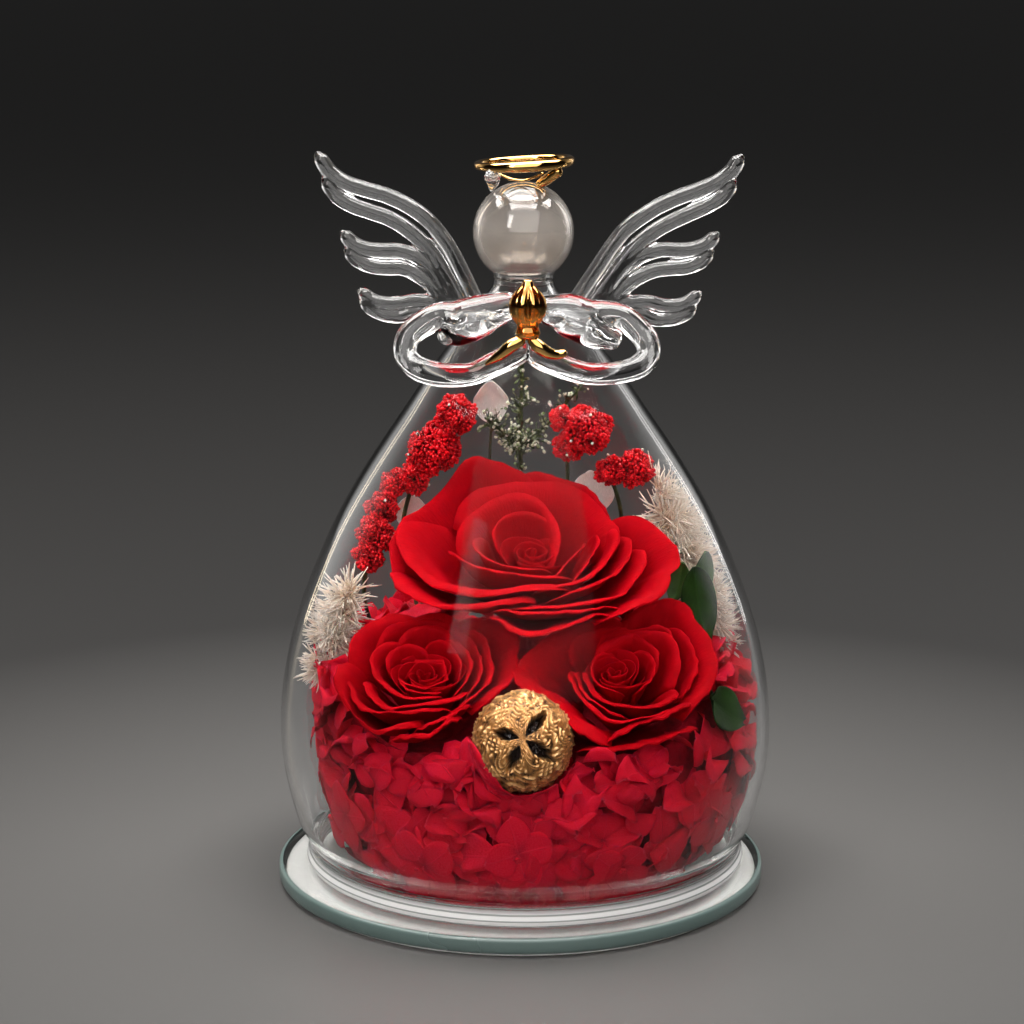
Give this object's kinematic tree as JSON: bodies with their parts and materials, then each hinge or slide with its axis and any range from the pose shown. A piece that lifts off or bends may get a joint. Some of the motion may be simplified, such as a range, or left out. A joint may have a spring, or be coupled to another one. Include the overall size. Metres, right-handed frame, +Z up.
{
  "type": "preserved rose in glass dome",
  "caption": "Praying glass figure whose bell-shaped skirt is a clear dome over preserved red roses, with glass wings, looped arms, ball head and gilt halo, on a round plate.",
  "frame": {"origin": "middle of the underside, where the part stands on a flat surface", "axes": "+Z up; the figure faces -Y, so its praying hands and the gold pod are on the -Y side; +X is to the viewer's right"},
  "size_m": [0.1213, 0.1204, 0.1785],
  "materials": {
    "clear_glass": "polished, colourless blown glass",
    "plate_glass": "polished, faint green-grey edge",
    "backing": "satin white",
    "gilt": "gold lustre over glass, mirror-like",
    "rose_petal": "velvety dyed petal",
    "hydrangea": "soft dyed petal with veins",
    "gold_pod": "rough seed pod under gold paint",
    "berry": "small waxy red buds",
    "bristle": "dry cream fibres",
    "dark_leaf": "smooth dark leaf, low gloss",
    "light_leaf": "matte light green leaf",
    "sprig": "dry olive twigs with cream buds",
    "pale_petal": "thin bleached petal, matte"
  },
  "bodies": {
    "root": {"backing_disc": "backing", "base_plate": "plate_glass", "glass_dome": "clear_glass", "head": "clear_glass", "halo": "gilt", "halo_post_left": "clear_glass", "halo_post_right": "gilt", "halo_thread": "gilt", "wing_left": "clear_glass", "wing_right": "clear_glass", "arm_left": "clear_glass", "arm_right": "clear_glass", "praying_hands": "gilt", "sleeve_tail_left": "gilt", "sleeve_tail_right": "gilt", "rose_top_heart": "rose_petal", "rose_top_petal_1": "rose_petal", "rose_top_petal_2": "rose_petal", "rose_top_petal_3": "rose_petal", "rose_top_petal_4": "rose_petal", "rose_top_petal_5": "rose_petal", "rose_top_petal_6": "rose_petal", "rose_top_petal_7": "rose_petal", "rose_top_petal_8": "rose_petal", "rose_left_heart": "rose_petal", "rose_left_petal_1": "rose_petal", "rose_left_petal_2": "rose_petal", "rose_left_petal_3": "rose_petal", "rose_left_petal_4": "rose_petal", "rose_left_petal_5": "rose_petal", "rose_left_petal_6": "rose_petal", "rose_right_heart": "rose_petal", "rose_right_petal_1": "rose_petal", "rose_right_petal_2": "rose_petal", "rose_right_petal_3": "rose_petal", "rose_right_petal_4": "rose_petal", "rose_right_petal_5": "rose_petal", "rose_right_petal_6": "rose_petal", "gumnut_pod": "gold_pod", "hydrangea_bed": "hydrangea", "hydrangea_floret_1": "hydrangea", "hydrangea_floret_2": "hydrangea", "hydrangea_floret_3": "hydrangea", "hydrangea_floret_4": "hydrangea", "hydrangea_floret_5": "hydrangea", "spray_left_upper": "berry", "spray_left_lower": "berry", "spray_right_upper": "berry", "spray_right_lower": "berry", "tuft_left": "bristle", "tuft_right": "bristle", "leaf_upper": "dark_leaf", "leaf_light": "light_leaf", "leaf_small": "dark_leaf", "leaf_lower": "dark_leaf", "bud_sprig": "sprig", "pale_petal_left": "pale_petal", "pale_petal_middle": "pale_petal", "pale_petal_right": "pale_petal"}
  },
  "joints": []
}
